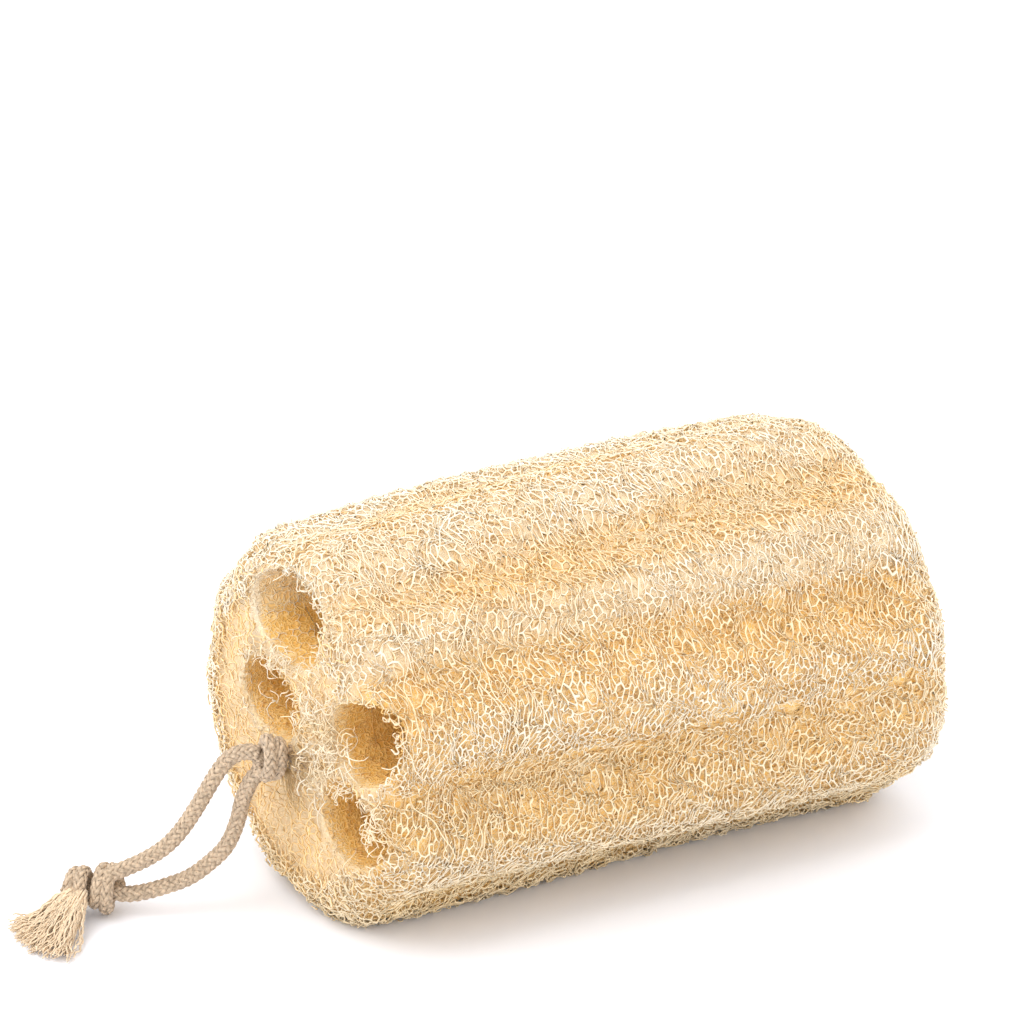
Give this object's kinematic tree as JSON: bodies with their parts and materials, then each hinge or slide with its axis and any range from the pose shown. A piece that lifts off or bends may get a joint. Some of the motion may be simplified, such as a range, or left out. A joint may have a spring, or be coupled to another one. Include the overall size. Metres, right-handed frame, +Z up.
{
  "type": "natural loofah sponge",
  "caption": "Cut natural loofah lying on its side: a fibrous ribbed cylinder with open seed channels and a knotted hanging cord at one end.",
  "frame": {"origin": "on the surface that the loofah lies on, below the middle of its length", "axes": "+X along the loofah's length away from its corded end, +Z up"},
  "size_m": [0.2166, 0.0941, 0.0929],
  "materials": {
    "loofah_fibre": "dry plant fibre, matt with a faint sheen on the strands",
    "braided_cord": "round herringbone braid, matt",
    "cord_yarn": "soft unravelled yarn, matt"
  },
  "bodies": {
    "root": {"loofah": "loofah_fibre", "cord_loop": "braided_cord", "cord_knot_upper": "braided_cord", "cord_leg_upper": "braided_cord", "cord_leg_lower": "braided_cord", "cord_knot_lower": "braided_cord", "cord_tassel": "cord_yarn"}
  },
  "joints": []
}
